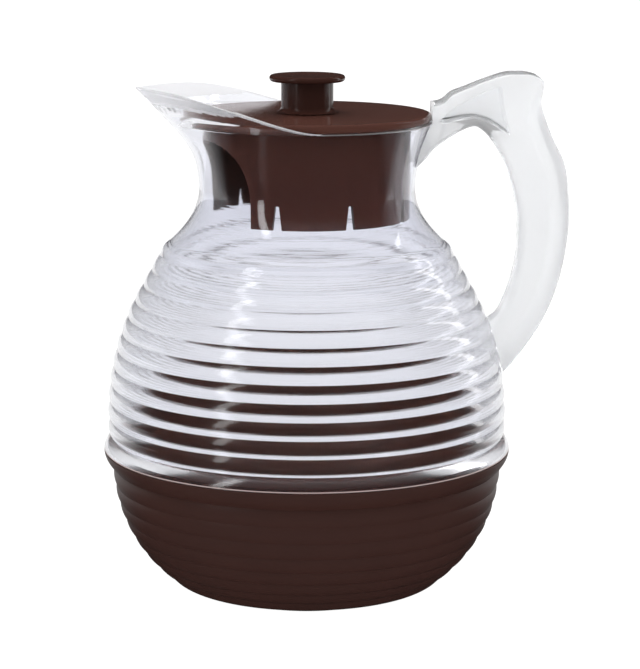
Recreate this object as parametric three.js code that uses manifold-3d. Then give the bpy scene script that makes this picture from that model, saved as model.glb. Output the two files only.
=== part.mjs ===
// A round water carafe in five plastic mouldings: a clear ribbed shell with its spout, a brown ribbed
// bowl, a clear handle, and a brown lid with its knob.
// Millimetres, +Z up. The origin is on the table, on the body's axis. +X points at the handle and -X
// at the spout.
import * as THREE from "three";
import { mergeVertices } from "three/addons/utils/BufferGeometryUtils.js";
import Module from "manifold-3d";

const wasm = await Module();
wasm.setup();

// Fits between the mouldings
const bondGap = 0.3;
const turningGap = 0.5;
const overrun = 2;

// Walls
const bodyWall = 2;
const neckWall = 1.5;

// Ribs that run round the whole body, measured along its outline
const ribPitch = 7;
const ribDepth = 0.62;
const ribRowShares = [0, 1 / 3, 2 / 3];

// Joint of the two halves, a ring that stands out from both
const seamHeight = 58;
const seamRadius = 80.5;
const seamFall = 0.6;

// Bowl, drawn in from the ring of the joint
const bowlInset = 3.2;
const bowlRadius = seamRadius - bowlInset;
const bowlDepth = 66;
const bowlRoundness = 2.33;
const bowlFirstGroove = 7.3;
const bowlLipDepth = 3.5;
const bowlRibCount = 8;
const footRadius = 37;
const footRound = 8;
const footCorner = 11;
const spigotHeight = 2;
const spigotWall = 2;

// Shoulder of the clear shell, drawn in from the same ring: an ellipse, then a straight run, then a bend
// into the neck
const shoulderInset = 1.7;
const shoulderRadius = seamRadius - shoulderInset;
const shoulderCentre = 13;
const shoulderRise = 92;
const shoulderEnd = 62;
const shoulderTopRadius = 56.3;
const shoulderTopHeight = 80.5;
const neckBendRadius = 51.8;
const neckBendHeight = 84.5;
const neckRun = 12;
const neckRadius = 42.3;
const neckHeight = 104;
const clearFirstGroove = 4.5;
const clearRibCount = 12;

// Rim that the lid sits on
const flareRise = 25.1;
const rimHeight = neckHeight + flareRise;
const rimRadius = 48.9;
const rimTrim = 0.3;
const rimFlarePower = 1.6;

// Spout, as angles each side of its middle and sizes over the rim's
const spoutReach = 66.9;
const spoutRise = 13.2;
const spoutHalfAngle = 98;
const spoutRisePower = 1.7;
const spoutFlare = 7;
const spoutFlarePower = 0.6;
const spoutWallPower = 1.45;
const beakHalfAngle = 36;
const beakPower = 2;
const beakBendShare = 0.32;
const beakSoftShare = 0.1;
const lipBevel = 4;
const lipEdge = 0.6;

// Lid
const discRadius = 48.6;
const discThickness = 3.3;
const discRound = 1.4;
const skirtLength = 38;
const skirtWall = 1.8;
const slotCount = 9;
const slotTurn = -15.9;
const slotHeight = 9.6;
const slotTopWidth = 1.6;
const slotBottomWidth = 3.7;
const archSlots = 2;
const archTurn = -70;
const archHalfAngle = 38.8;
const archHeight = 32.5;
const archSpring = 5;
const archSquareness = 2.8;
const archSteps = 18;

// Knob
const knobHeight = 14.7;
const buttonRadius = 14.8;
const buttonThickness = 2.5;
const buttonDish = 0.4;
const buttonRound = 1.2;
const buttonRimWidth = 2.4;
const stemRadius = 10.2;
const stemFillet = 2.2;
const knobSpigotRadius = 4;
const snapHeadRadius = 5.4;
const snapHeadHeight = 3;

// Handle, in the plane through the spout and the axis
const handleReach = 102.4;
const handleFoot = 30;
const handleRise = 118.3;
const handleHalfWidth = 9;
const handleBackHalfWidth = 4.5;
const handleBackDepth = 8;
const handleInnerRound = 2.6;
const handleInnerBevel = 0.9;
const handleInnerHalfWidth = 6;
const armClearance = 1.2;
const webHalfThickness = 2;
const handleRootShares = [1.6, 1.35, 1.15, 1.03];

// Places across the handle, from its root at the neck to its foot: the inner edge's X and height, the
// outer edge's X and height, and how far the back is drawn in. X is a share of the handle's reach and
// height a share of its rise from its foot.
const handleStationShares = [
  [0.300, 0.600, 0.300, 0.925, 0],
  [0.433, 0.708, 0.481, 0.899, 0],
  [0.476, 0.750, 0.550, 0.934, 0],
  [0.531, 0.786, 0.604, 0.953, 0],
  [0.587, 0.815, 0.672, 0.977, 0],
  [0.634, 0.828, 0.753, 0.999, 0],
  [0.666, 0.814, 0.822, 1.002, 0],
  [0.692, 0.790, 0.892, 0.977, 0.25],
  [0.723, 0.749, 0.887, 0.907, 0.9],
  [0.750, 0.706, 0.902, 0.857, 1],
  [0.772, 0.651, 0.934, 0.786, 1],
  [0.791, 0.591, 0.976, 0.712, 1],
  [0.800, 0.544, 0.995, 0.627, 1],
  [0.805, 0.493, 1.001, 0.523, 1],
  [0.805, 0.416, 0.996, 0.455, 1],
  [0.792, 0.343, 0.982, 0.375, 1],
  [0.775, 0.288, 0.961, 0.300, 1],
  [0.753, 0.239, 0.933, 0.232, 1],
  [0.729, 0.199, 0.891, 0.158, 1],
  [0.687, 0.169, 0.839, 0.091, 0.9],
  [0.640, 0.120, 0.795, 0.042, 0.8],
  [0.620, 0.010, 0.751, 0.000, 0.7],
];

// Corners of the recess on each side of the arm, as shares of the same reach and rise
const recessShares = [
  [0.500, 0.850],
  [0.560, 0.893],
  [0.650, 0.935],
  [0.730, 0.962],
  [0.738, 0.905],
  [0.750, 0.850],
  [0.768, 0.800],
  [0.718, 0.832],
  [0.680, 0.851],
  [0.628, 0.862],
  [0.560, 0.852],
  [0.515, 0.842],
];

// How finely round shapes are cut
const bodySides = 36;
const spoutStep = 5;
const spoutFineAngle = 40;
const lidSides = 40;
const knobSides = 24;
const bendSteps = 4;
const edgeSteps = 8;
const outlineSteps = 60;
const roomSteps = 20;
const tangentShare = 0.01;

// Rows of corners, as shares of the way along an outline: up the neck above the last groove, up the flare
// outside, down the flare inside, down the shell inside, and up the bowl inside
const neckRowShares = [0.16, 0.36, 0.56, 0.78, 1];
const flareShares = [0.14, 0.28, 0.42, 0.58, 0.74, 0.88, 1];
const flareInnerShares = [1, 0.85, 0.68, 0.5, 0.32, 0.15];
const shellInnerShares = [1, 0.94, 0.88, 0.8, 0.7, 0.6, 0.5, 0.4, 0.3, 0.2, 0.1, 0];
const thinWallShare = 0.7;
const bowlInnerShares = [0.99, 0.94, 0.9, 0.86, 0.8, 0.7, 0.6, 0.5, 0.4, 0.3, 0.2, 0.1];

const degree = Math.PI / 180;
const mergeDistance = 1e-4;
const underside = seamHeight + rimHeight + bondGap;
const discTop = underside + discThickness;

// Turns a closed mesh into a solid that can be cut.
function toSolid(geometry) {
  const bare = geometry.clone();
  bare.deleteAttribute("normal");
  bare.deleteAttribute("uv");
  const merged = mergeVertices(bare, mergeDistance);
  const corners = merged.index.array;
  const kept = [];
  for (let i = 0; i < corners.length; i += 3) {
    const [a, b, c] = [corners[i], corners[i + 1], corners[i + 2]];
    if (a !== b && b !== c && c !== a) kept.push(a, b, c);
  }
  return new wasm.Manifold(new wasm.Mesh({
    numProp: 3,
    vertProperties: merged.attributes.position.array,
    triVerts: new Uint32Array(kept),
  }));
}

function toGeometry(solid) {
  const mesh = solid.getMesh();
  const geometry = new THREE.BufferGeometry();
  geometry.setAttribute("position", new THREE.BufferAttribute(new Float32Array(mesh.vertProperties), 3));
  geometry.setIndex(new THREE.BufferAttribute(new Uint32Array(mesh.triVerts), 1));
  geometry.computeVertexNormals();
  return geometry;
}

// Joins rows of corners into one closed skin. Rows that don't close on each other get a flat end each.
function skin(rows, rowsClose) {
  const positions = rows.flat().flatMap((corner) => [corner.x, corner.y, corner.z]);
  const across = rows[0].length;
  const index = [];
  const last = rowsClose ? rows.length : rows.length - 1;
  for (let row = 0; row < last; row += 1) {
    const here = row * across;
    const next = ((row + 1) % rows.length) * across;
    for (let i = 0; i < across; i += 1) {
      const j = (i + 1) % across;
      index.push(here + i, here + j, next + j, here + i, next + j, next + i);
    }
  }
  if (!rowsClose) {
    const end = (rows.length - 1) * across;
    for (let i = 1; i < across - 1; i += 1) {
      index.push(0, i + 1, i);
      index.push(end, end + i, end + i + 1);
    }
  }
  const geometry = new THREE.BufferGeometry();
  geometry.setAttribute("position", new THREE.Float32BufferAttribute(positions, 3));
  geometry.setIndex(index);
  geometry.computeVertexNormals();
  return geometry;
}

// Turns an outline of radius and height round the axis.
function turned(outline, sides) {
  const geometry = new THREE.LatheGeometry(outline, sides);
  geometry.rotateX(90 * degree);
  return geometry;
}

// A point of an outline at a distance along it, moved towards the axis by an inset.
function alongOutline(outline, distance, inset) {
  const share = Math.min(distance / outline.getLength(), 1);
  const point = outline.getPoint(share);
  const tangent = outline.getTangent(share);
  return new THREE.Vector2(point.x - inset * tangent.y, point.y + inset * tangent.x);
}

// Rows of rounded ribs with a sharp groove between each two.
function ribRows(outline, firstGroove, count, side) {
  const rows = [];
  for (let rib = 0; rib < count; rib += 1) {
    for (const share of ribRowShares) {
      const depth = ribDepth * (2 * share - 1) ** 2;
      rows.push(alongOutline(outline, firstGroove + (rib + share) * ribPitch, side * depth));
    }
  }
  rows.push(alongOutline(outline, firstGroove + count * ribPitch, side * ribDepth));
  return rows;
}

// Outline of the clear shell's ribs' crests, from the seam up to the neck.
function shoulderOutline() {
  const outline = new THREE.Path();
  const startAngle = Math.asin(-shoulderCentre / shoulderRise);
  const endAngle = Math.asin((shoulderEnd - shoulderCentre) / shoulderRise);
  const centre = seamHeight + shoulderCentre;
  outline.absellipse(0, centre, shoulderRadius, shoulderRise, startAngle, endAngle, false);
  outline.lineTo(shoulderTopRadius, seamHeight + shoulderTopHeight);
  const bend = seamHeight + neckBendHeight;
  const neck = seamHeight + neckHeight;
  outline.bezierCurveTo(neckBendRadius, bend, neckRadius, neck - neckRun, neckRadius, neck);
  return outline;
}

// Outline of the bowl's ribs' crests, from the seam down to the edge of its flat foot.
function bowlOutline() {
  const points = [];
  const sideDepth = seamHeight - footRound;
  for (let step = 0; step <= outlineSteps; step += 1) {
    const depth = (sideDepth * step) / outlineSteps;
    const radius = bowlRadius * (1 - (depth / bowlDepth) ** bowlRoundness) ** (1 / bowlRoundness);
    points.push(new THREE.Vector2(radius, seamHeight - depth));
  }
  const side = points[points.length - 1];
  const corner = new THREE.Vector2(footRadius + footCorner, 0);
  const bend = new THREE.QuadraticBezierCurve(side, corner, new THREE.Vector2(footRadius, 0));
  points.push(...bend.getPoints(edgeSteps).slice(1));
  return new THREE.Path().setFromPoints(points);
}

// How much of the spout's rise the rim has at an angle from the spout's middle.
function spoutShare(angle) {
  const share = Math.min(Math.abs(angle) / spoutHalfAngle, 1);
  return (1 + Math.cos(Math.PI * share ** spoutRisePower)) / 2;
}

function beakShare(angle) {
  return Math.max(1 - Math.abs(angle) / beakHalfAngle, 0) ** beakPower;
}

// Outer point of the wall between the neck and the rim, at a share of the way up.
function flarePoint(angle, share) {
  const spout = spoutShare(angle);
  const beak = beakShare(angle);
  const beakReach = spoutReach - rimRadius - spoutFlare;
  const radius = rimRadius + spoutFlare * spout ** spoutFlarePower + beakReach * beak;
  const top = seamHeight + rimHeight + rimTrim + (spoutRise - rimTrim) * spout;
  const power = rimFlarePower + (spoutWallPower - rimFlarePower) * spout;
  const bend = (at) => at - beakBendShare + Math.hypot(at - beakBendShare, beakSoftShare);
  const beakOut = (bend(share) - bend(0)) / (bend(1) - bend(0));
  const out = share ** power * (1 - beak) + beakOut * beak;
  const bottom = seamHeight + neckHeight;
  return new THREE.Vector2(neckRadius + (radius - neckRadius) * out, bottom + (top - bottom) * share);
}

// Inner point of the same wall.
function flareInnerPoint(angle, share) {
  const nearShare = share * (1 - tangentShare);
  const near = flarePoint(angle, nearShare);
  const far = flarePoint(angle, nearShare + tangentShare);
  const tangent = far.clone().sub(near).normalize();
  const inset = neckWall + (bodyWall - neckWall) * share;
  const point = flarePoint(angle, share);
  return new THREE.Vector2(point.x - inset * tangent.y, point.y + inset * tangent.x);
}

// Closed outline of the clear shell's wall at an angle from the spout's middle.
function clearWallOutline(angle, crest) {
  const seam = seamHeight + bondGap;
  const ribEnd = clearFirstGroove + clearRibCount * ribPitch;
  const length = crest.getLength();
  const outline = [new THREE.Vector2(seamRadius, seam)];
  outline.push(new THREE.Vector2(seamRadius - seamFall, seam + clearFirstGroove / 2));
  outline.push(...ribRows(crest, clearFirstGroove, clearRibCount, 1));
  for (const share of neckRowShares) {
    outline.push(alongOutline(crest, ribEnd + (length - ribEnd) * share, 0));
  }
  for (const share of flareShares) outline.push(flarePoint(angle, share));
  const rim = flarePoint(angle, 1);
  outline.push(new THREE.Vector2(rim.x - lipEdge, rim.y));
  const wallHeight = rim.y - seamHeight - neckHeight;
  const bevelShare = 1 - (lipBevel * spoutShare(angle) + lipEdge) / wallHeight;
  for (const share of flareInnerShares) {
    outline.push(flareInnerPoint(angle, share * bevelShare));
  }
  for (const share of shellInnerShares) {
    const thickening = Math.min((1 - share) / (1 - thinWallShare), 1);
    const inset = neckWall + (bodyWall + ribDepth - neckWall) * thickening;
    outline.push(alongOutline(crest, length * share, inset));
  }
  outline[outline.length - 1].y = seam;
  return outline.reverse();
}

function clearBody() {
  const crest = shoulderOutline();
  const angles = [];
  for (let angle = -180; angle < 180; angle += 360 / bodySides) {
    angles.push(angle);
    if (angle >= -spoutFineAngle && angle < spoutFineAngle) angles.push(angle + spoutStep);
  }
  const columns = angles.map((angle) => {
    const turn = (180 + angle) * degree;
    return clearWallOutline(angle, crest).map(
      (point) => new THREE.Vector3(point.x * Math.cos(turn), point.x * Math.sin(turn), point.y),
    );
  });
  const seat = new THREE.CylinderGeometry(
    discRadius + turningGap, discRadius + turningGap, spoutRise + overrun, bodySides,
  );
  seat.rotateX(90 * degree);
  seat.translate(0, 0, seamHeight + rimHeight + (spoutRise + overrun) / 2);
  return toGeometry(toSolid(skin(columns, true)).subtract(toSolid(seat)));
}

function bowl() {
  const crest = bowlOutline();
  const length = crest.getLength();
  const clearInside = alongOutline(shoulderOutline(), 0, bodyWall + ribDepth).x;
  const spigotRadius = clearInside - bondGap;
  const outline = [new THREE.Vector2(0, bodyWall)];
  for (const share of bowlInnerShares) {
    outline.push(alongOutline(crest, length * share, -bodyWall - ribDepth));
  }
  outline.push(new THREE.Vector2(spigotRadius - spigotWall, seamHeight));
  outline.push(new THREE.Vector2(spigotRadius - spigotWall, seamHeight + spigotHeight));
  outline.push(new THREE.Vector2(spigotRadius, seamHeight + spigotHeight));
  outline.push(new THREE.Vector2(spigotRadius, seamHeight));
  const lipStart = new THREE.Vector2(seamRadius, seamHeight);
  const lipBend = new THREE.Vector2(seamRadius, seamHeight - bowlLipDepth);
  const groove = alongOutline(crest, bowlFirstGroove, -ribDepth);
  outline.push(...new THREE.QuadraticBezierCurve(lipStart, lipBend, groove).getPoints(bendSteps).slice(0, -1));
  outline.push(...ribRows(crest, bowlFirstGroove, bowlRibCount, -1));
  outline.push(new THREE.Vector2(footRadius, 0), new THREE.Vector2(0, 0));
  return turned(outline.reverse(), bodySides);
}

// Solid that fills the body out to its surface and a gap, and the room that the lid's disc needs.
function bodyRoom() {
  const crest = shoulderOutline();
  const length = crest.getLength();
  const outline = [new THREE.Vector2(0, seamHeight)];
  for (let step = 0; step <= roomSteps; step += 1) {
    outline.push(alongOutline(crest, (length * step) / roomSteps, -bondGap));
  }
  for (const share of flareShares) {
    const point = flarePoint(180, share);
    outline.push(new THREE.Vector2(point.x + bondGap, point.y));
  }
  const room = discRadius + armClearance;
  const top = seamHeight + handleFoot + handleRise + overrun;
  outline.push(new THREE.Vector2(room, seamHeight + rimHeight));
  outline.push(new THREE.Vector2(room, top));
  outline.push(new THREE.Vector2(0, top));
  return toSolid(turned(outline, bodySides));
}

// Section of the handle between its inner and outer edge: rounded inside, drawn in towards the back, and
// wider at the root by a share.
function handleSection(inner, outer, drawnIn, rootShare) {
  const across = outer.clone().sub(inner);
  const depth = across.length();
  const halfWidth = handleHalfWidth * rootShare;
  const back = halfWidth + (handleBackHalfWidth - halfWidth) * drawnIn;
  const half = [
    [0, handleInnerHalfWidth * rootShare],
    [handleInnerBevel, halfWidth - handleInnerBevel],
    [handleInnerRound, halfWidth],
    [depth - handleBackDepth, halfWidth],
    [depth, back],
  ];
  const corner = ([along, side]) => {
    const point = inner.clone().addScaledVector(across, along / depth);
    return new THREE.Vector3(point.x, side, point.y);
  };
  const mirrored = half.map(([along, side]) => [along, -side]).reverse();
  return [...half, ...mirrored].map(corner);
}

function handlePlace(xShare, heightShare) {
  return new THREE.Vector2(xShare * handleReach, seamHeight + handleFoot + heightShare * handleRise);
}

function handle() {
  const sections = handleStationShares.map(([innerX, innerHeight, outerX, outerHeight, drawnIn], i) => {
    const inner = handlePlace(innerX, innerHeight);
    const outer = handlePlace(outerX, outerHeight);
    return handleSection(inner, outer, drawnIn, handleRootShares[i] ?? 1);
  });
  let solid = toSolid(skin(sections, false));
  const recess = new THREE.Shape(recessShares.map(([x, height]) => handlePlace(x, height)));
  const depth = handleHalfWidth * handleRootShares[0] - webHalfThickness;
  for (const start of [webHalfThickness, -webHalfThickness - depth]) {
    const pocket = new THREE.ExtrudeGeometry(recess, { depth, bevelEnabled: false });
    pocket.rotateX(90 * degree);
    pocket.translate(0, start + depth, 0);
    solid = solid.subtract(toSolid(pocket));
  }
  return toGeometry(solid.subtract(bodyRoom()));
}

// A flat shape, drawn across and up, pushed out from the axis through the skirt at an angle from the
// front, positive towards the handle.
function skirtCutter(shape, angle) {
  const cutter = new THREE.ExtrudeGeometry(shape, { depth: discRadius, bevelEnabled: false });
  cutter.rotateX(90 * degree);
  cutter.rotateZ(angle * degree);
  cutter.translate(0, 0, underside - skirtLength);
  return toSolid(cutter);
}

function lid() {
  const boreRadius = neckRadius - neckWall;
  const skirtRadius = boreRadius - turningGap;
  const holeRadius = knobSpigotRadius + bondGap;
  const outline = [
    new THREE.Vector2(holeRadius, discTop),
    new THREE.Vector2(holeRadius, underside),
    new THREE.Vector2(skirtRadius - skirtWall, underside),
    new THREE.Vector2(skirtRadius - skirtWall, underside - skirtLength),
    new THREE.Vector2(skirtRadius, underside - skirtLength),
    new THREE.Vector2(skirtRadius, underside),
  ];
  for (const [centre, start] of [[underside + discRound, -90], [discTop - discRound, 0]]) {
    for (let step = 0; step <= bendSteps; step += 1) {
      const turn = (start + (90 * step) / bendSteps) * degree;
      const radius = discRadius - discRound + discRound * Math.cos(turn);
      outline.push(new THREE.Vector2(radius, centre + discRound * Math.sin(turn)));
    }
  }
  outline.push(outline[0].clone());
  let solid = toSolid(turned(outline, lidSides));

  const slot = new THREE.Shape([
    new THREE.Vector2(-slotBottomWidth / 2, -overrun),
    new THREE.Vector2(slotBottomWidth / 2, -overrun),
    new THREE.Vector2(slotBottomWidth / 2, 0),
    new THREE.Vector2(slotTopWidth / 2, slotHeight),
    new THREE.Vector2(-slotTopWidth / 2, slotHeight),
    new THREE.Vector2(-slotBottomWidth / 2, 0),
  ]);
  const spacing = 360 / slotCount;
  for (let i = 0; i < slotCount - archSlots; i += 1) {
    solid = solid.subtract(skirtCutter(slot, slotTurn + i * spacing));
  }

  const archHalfWidth = skirtRadius * Math.sin(archHalfAngle * degree);
  const archPower = 2 / archSquareness;
  const archOutline = [new THREE.Vector2(-archHalfWidth, -overrun), new THREE.Vector2(archHalfWidth, -overrun)];
  for (let step = 0; step <= archSteps; step += 1) {
    const turn = (Math.PI * step) / archSteps;
    const across = Math.sign(Math.cos(turn)) * Math.abs(Math.cos(turn)) ** archPower;
    const up = Math.abs(Math.sin(turn)) ** archPower;
    archOutline.push(new THREE.Vector2(archHalfWidth * across, archSpring + (archHeight - archSpring) * up));
  }
  const arch = new THREE.Shape(archOutline);
  return toGeometry(solid.subtract(skirtCutter(arch, archTurn)));
}

function knob() {
  const headTop = underside - bondGap;
  const base = discTop + bondGap;
  const top = discTop + knobHeight;
  const buttonBottom = top - buttonThickness;
  const outline = [
    new THREE.Vector2(0, headTop - snapHeadHeight),
    new THREE.Vector2(knobSpigotRadius, headTop - snapHeadHeight),
    new THREE.Vector2(snapHeadRadius, headTop - snapHeadHeight / 2),
    new THREE.Vector2(snapHeadRadius, headTop),
    new THREE.Vector2(knobSpigotRadius, headTop),
    new THREE.Vector2(knobSpigotRadius, base),
  ];
  for (let step = 0; step <= bendSteps; step += 1) {
    const turn = (90 * degree * step) / bendSteps;
    const radius = stemRadius + stemFillet * (1 - Math.sin(turn));
    outline.push(new THREE.Vector2(radius, base + stemFillet * (1 - Math.cos(turn))));
  }
  outline.push(new THREE.Vector2(stemRadius, buttonBottom));
  outline.push(new THREE.Vector2(buttonRadius - buttonRound, buttonBottom));
  for (let step = 1; step < edgeSteps; step += 1) {
    const turn = (-90 + (180 * step) / edgeSteps) * degree;
    const height = (buttonThickness / 2) * Math.sin(turn);
    const radius = buttonRadius - buttonRound * (1 - Math.cos(turn));
    outline.push(new THREE.Vector2(radius, top - buttonThickness / 2 + height));
  }
  outline.push(new THREE.Vector2(buttonRadius - buttonRound, top));
  outline.push(new THREE.Vector2(buttonRadius - buttonRimWidth, top - buttonDish));
  outline.push(new THREE.Vector2(0, top - buttonDish));
  return turned(outline, knobSides);
}

const clearPlastic = new THREE.MeshStandardMaterial({
  color: 0xe6e9f0, roughness: 0.08, metalness: 0, transparent: true, opacity: 0.35,
});
const handlePlastic = new THREE.MeshStandardMaterial({
  color: 0xf0f2f7, roughness: 0.12, metalness: 0, transparent: true, opacity: 0.6,
});
const brownPlastic = new THREE.MeshStandardMaterial({ color: 0x3e2623, roughness: 0.3, metalness: 0 });
const lidPlastic = new THREE.MeshStandardMaterial({ color: 0x422a26, roughness: 0.22, metalness: 0 });

function piece(name, geometry, material) {
  const mesh = new THREE.Mesh(geometry, material);
  mesh.name = name;
  return mesh;
}

const group = new THREE.Group();
group.name = "water_carafe";
group.add(piece("clear_body", clearBody(), clearPlastic));
group.add(piece("bowl", bowl(), brownPlastic));
group.add(piece("handle", handle(), handlePlastic));
group.add(piece("lid", lid(), lidPlastic));
group.add(piece("knob", knob(), lidPlastic));

export default group;
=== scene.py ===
# %% [markdown]
# This lesson dresses a water carafe: a clear ribbed shell with a pointed spout, a dark brown ribbed bowl
# under it, a clear handle at the side, and a brown lid with a mushroom knob. All five are plastic
# mouldings. The CAD model already has their sizes and places, and it stays as it is: it is loaded first,
# as a frame, and every piece made here stands for one of its pieces.

# %% The frame and the tools
import math

import bmesh
import bpy
from mathutils import Matrix, Vector


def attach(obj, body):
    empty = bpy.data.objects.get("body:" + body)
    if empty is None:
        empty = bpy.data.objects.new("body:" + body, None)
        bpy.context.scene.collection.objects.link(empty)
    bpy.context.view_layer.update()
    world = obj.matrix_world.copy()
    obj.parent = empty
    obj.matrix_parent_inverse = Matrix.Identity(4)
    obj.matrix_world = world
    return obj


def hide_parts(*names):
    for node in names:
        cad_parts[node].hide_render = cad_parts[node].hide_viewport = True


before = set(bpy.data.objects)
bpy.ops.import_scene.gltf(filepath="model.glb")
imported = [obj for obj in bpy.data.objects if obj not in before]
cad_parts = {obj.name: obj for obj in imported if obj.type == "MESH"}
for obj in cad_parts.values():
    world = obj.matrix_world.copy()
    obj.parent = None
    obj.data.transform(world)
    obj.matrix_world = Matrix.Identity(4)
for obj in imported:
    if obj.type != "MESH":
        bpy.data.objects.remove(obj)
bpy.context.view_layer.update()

# %% [markdown]
# The camera stands a metre in front of the axis and looks down a little, so the rings open into ellipses
# that get rounder towards the table. It leans by a sixth of a degree, because the rings in the photograph
# are a little lower on the right.

# %% The camera
CAMERA_PLACE = (0.0052, -1.0, 0.294)
CAMERA_DOWN = math.radians(10.835)
CAMERA_LEAN = math.radians(0.15)
CAMERA_LENS = 138.35

bpy.ops.object.camera_add()
camera = bpy.context.object
camera.name = "camera"
camera.data.lens = CAMERA_LENS
tilt = Matrix.Rotation(math.radians(90) - CAMERA_DOWN, 4, "X")
lean = Matrix.Rotation(CAMERA_LEAN, 4, "Z")
camera.matrix_world = Matrix.Translation(CAMERA_PLACE) @ tilt @ lean
bpy.context.scene.camera = camera
bpy.context.scene.view_settings.view_transform = "Standard"
print("Camera at", CAMERA_PLACE, "lens", CAMERA_LENS)

# %% [markdown]
# Light is thrown to and fro many times inside clear plastic before it comes out. With Blender's usual
# limit of four mirrored bounces such rays end in black, so the limits are raised.

# %% How often light may bounce
LIGHT_BOUNCES = 64

paths = bpy.context.scene.cycles
paths.max_bounces = LIGHT_BOUNCES
paths.glossy_bounces = LIGHT_BOUNCES
paths.transmission_bounces = LIGHT_BOUNCES
print("Bounces:", paths.max_bounces)

# %% [markdown]
# Three ways of shaping are enough here. Round pieces start as a circle whose vertices are moved to the
# piece's outline, and the outline is spun round the axis. Pieces with a changing section start as a
# circle that is moved to the first section, and is then extruded from section to section. Holes are cut
# with a second solid. Sizes are written in millimetres, and become metres where the vertices are placed.

# %% Helpers for shaping
MM = 0.001
MERGE = 0.004 * MM
START_RADIUS = 10 * MM


def select_only(*pieces):
    """Selects these objects and nothing else, and makes the first one active."""
    bpy.ops.object.select_all(action="DESELECT")
    for piece in pieces:
        piece.select_set(True)
    bpy.context.view_layer.objects.active = pieces[0] if pieces else None


def start_ring(name, points):
    """Adds a circle with a vertex for each point, and moves the vertices there, in millimetres."""
    select_only()
    bpy.ops.mesh.primitive_circle_add(vertices=len(points), radius=START_RADIUS)
    piece = bpy.context.object
    piece.name = name
    for vertex, point in zip(piece.data.vertices, points):
        vertex.co = Vector(point) * MM
    return piece


def tidy_mesh(piece):
    """Merges doubled vertices and turns every face outwards."""
    select_only(piece)
    bpy.ops.object.mode_set(mode="EDIT")
    bpy.ops.mesh.select_all(action="SELECT")
    bpy.ops.mesh.remove_doubles(threshold=MERGE)
    bpy.ops.mesh.dissolve_degenerate(threshold=MERGE)
    bpy.ops.mesh.normals_make_consistent(inside=False)
    bpy.ops.object.mode_set(mode="OBJECT")


def spin(name, outline, sides, closed):
    """Spins an outline of radius and height round the axis. An outline that isn't closed keeps its gap."""
    piece = start_ring(name, [(radius, 0, height) for radius, height in outline])
    bpy.ops.object.mode_set(mode="EDIT")
    if not closed:
        ring = bmesh.from_edit_mesh(piece.data)
        bpy.ops.mesh.select_all(action="DESELECT")
        bpy.ops.mesh.select_mode(type="EDGE")
        ring.verts.ensure_lookup_table()
        for edge in ring.edges:
            ends = {vertex.index for vertex in edge.verts}
            edge.select = ends == {0, len(outline) - 1}
        bmesh.update_edit_mesh(piece.data)
        bpy.ops.mesh.delete(type="EDGE")
        bpy.ops.mesh.select_mode(type="VERT")
    bpy.ops.mesh.select_all(action="SELECT")
    bpy.ops.mesh.spin(steps=sides, angle=math.tau, center=(0, 0, 0), axis=(0, 0, 1))
    bpy.ops.object.mode_set(mode="OBJECT")
    tidy_mesh(piece)
    return piece


def loft(name, rows, capped):
    """Extrudes a ring from row to row of points. With caps it is a closed solid."""
    piece = start_ring(name, rows[0])
    bpy.ops.object.mode_set(mode="EDIT")
    bpy.ops.mesh.select_all(action="SELECT")
    if capped:
        bpy.ops.mesh.edge_face_add()
    for before, row in zip(rows, rows[1:]):
        bpy.ops.mesh.extrude_region_move()
        shape = bmesh.from_edit_mesh(piece.data)
        chosen = {tuple(vertex.co): vertex for vertex in shape.verts if vertex.select}
        for old, new in zip(before, row):
            chosen[tuple(Vector(old) * MM)].co = Vector(new) * MM
        bmesh.update_edit_mesh(piece.data)
    bpy.ops.object.mode_set(mode="OBJECT")
    return piece


def join(first, *others):
    """Joins objects into the first one."""
    select_only(first, *others)
    bpy.ops.object.join()
    return first


def cut(piece, cutter):
    """Cuts one closed solid out of another, and deletes the cutter."""
    select_only(piece)
    bpy.ops.object.modifier_add(type="BOOLEAN")
    modifier = piece.modifiers[-1]
    modifier.operation = "DIFFERENCE"
    modifier.solver = "MANIFOLD"
    modifier.object = cutter
    bpy.ops.object.modifier_apply(modifier=modifier.name)
    select_only(cutter)
    bpy.ops.object.delete()
    select_only(piece)


def finish_piece(piece, angle, body, node):
    """Shades a piece smooth up to an edge angle, sets it on its body and lets it stand for its CAD node."""
    select_only(piece)
    bpy.ops.object.shade_smooth_by_angle(angle=math.radians(angle))
    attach(piece, body)
    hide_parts(node)
    size = [round(side / MM, 1) for side in piece.dimensions]
    print(piece.name, "is", size, "mm, with", len(piece.data.polygons), "faces")


# %% [markdown]
# The outlines are drawn curves. A curve is kept as many short steps, and it is read by the distance along
# it, because the ribs are spaced along the surface and not by height. A point can be moved off the curve,
# towards the axis or away from it, and that makes the ribs and the inner side of a wall.

# %% Outlines
CURVE_STEPS = 300
TANGENT_REACH = 0.2


class Outline:
    """A curve of radius and height in millimetres."""

    def __init__(self, points):
        self.points = [Vector(point) for point in points]
        self.run = [0.0]
        for before, after in zip(self.points, self.points[1:]):
            self.run.append(self.run[-1] + (after - before).length)
        self.length = self.run[-1]

    def plain(self, distance):
        """The point at a distance along the curve."""
        distance = min(max(distance, 0.0), self.length)
        low, high = 0, len(self.points) - 1
        while high - low > 1:
            middle = (low + high) // 2
            if self.run[middle] <= distance:
                low = middle
            else:
                high = middle
        share = (distance - self.run[low]) / (self.run[high] - self.run[low])
        return self.points[low].lerp(self.points[high], share)

    def at(self, distance, inset=0.0):
        """The same point, moved by an inset to the left of the curve's way."""
        along = self.plain(distance + TANGENT_REACH) - self.plain(distance - TANGENT_REACH)
        along.normalize()
        point = self.plain(distance)
        return (point.x - inset * along.y, point.y + inset * along.x)


def bezier(corners, steps):
    """Points of a Bezier curve through its first and last corner."""
    points = []
    for step in range(steps + 1):
        share = step / steps
        row = [Vector(corner) for corner in corners]
        while len(row) > 1:
            row = [a.lerp(b, share) for a, b in zip(row, row[1:])]
        points.append(row[0])
    return points


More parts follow.
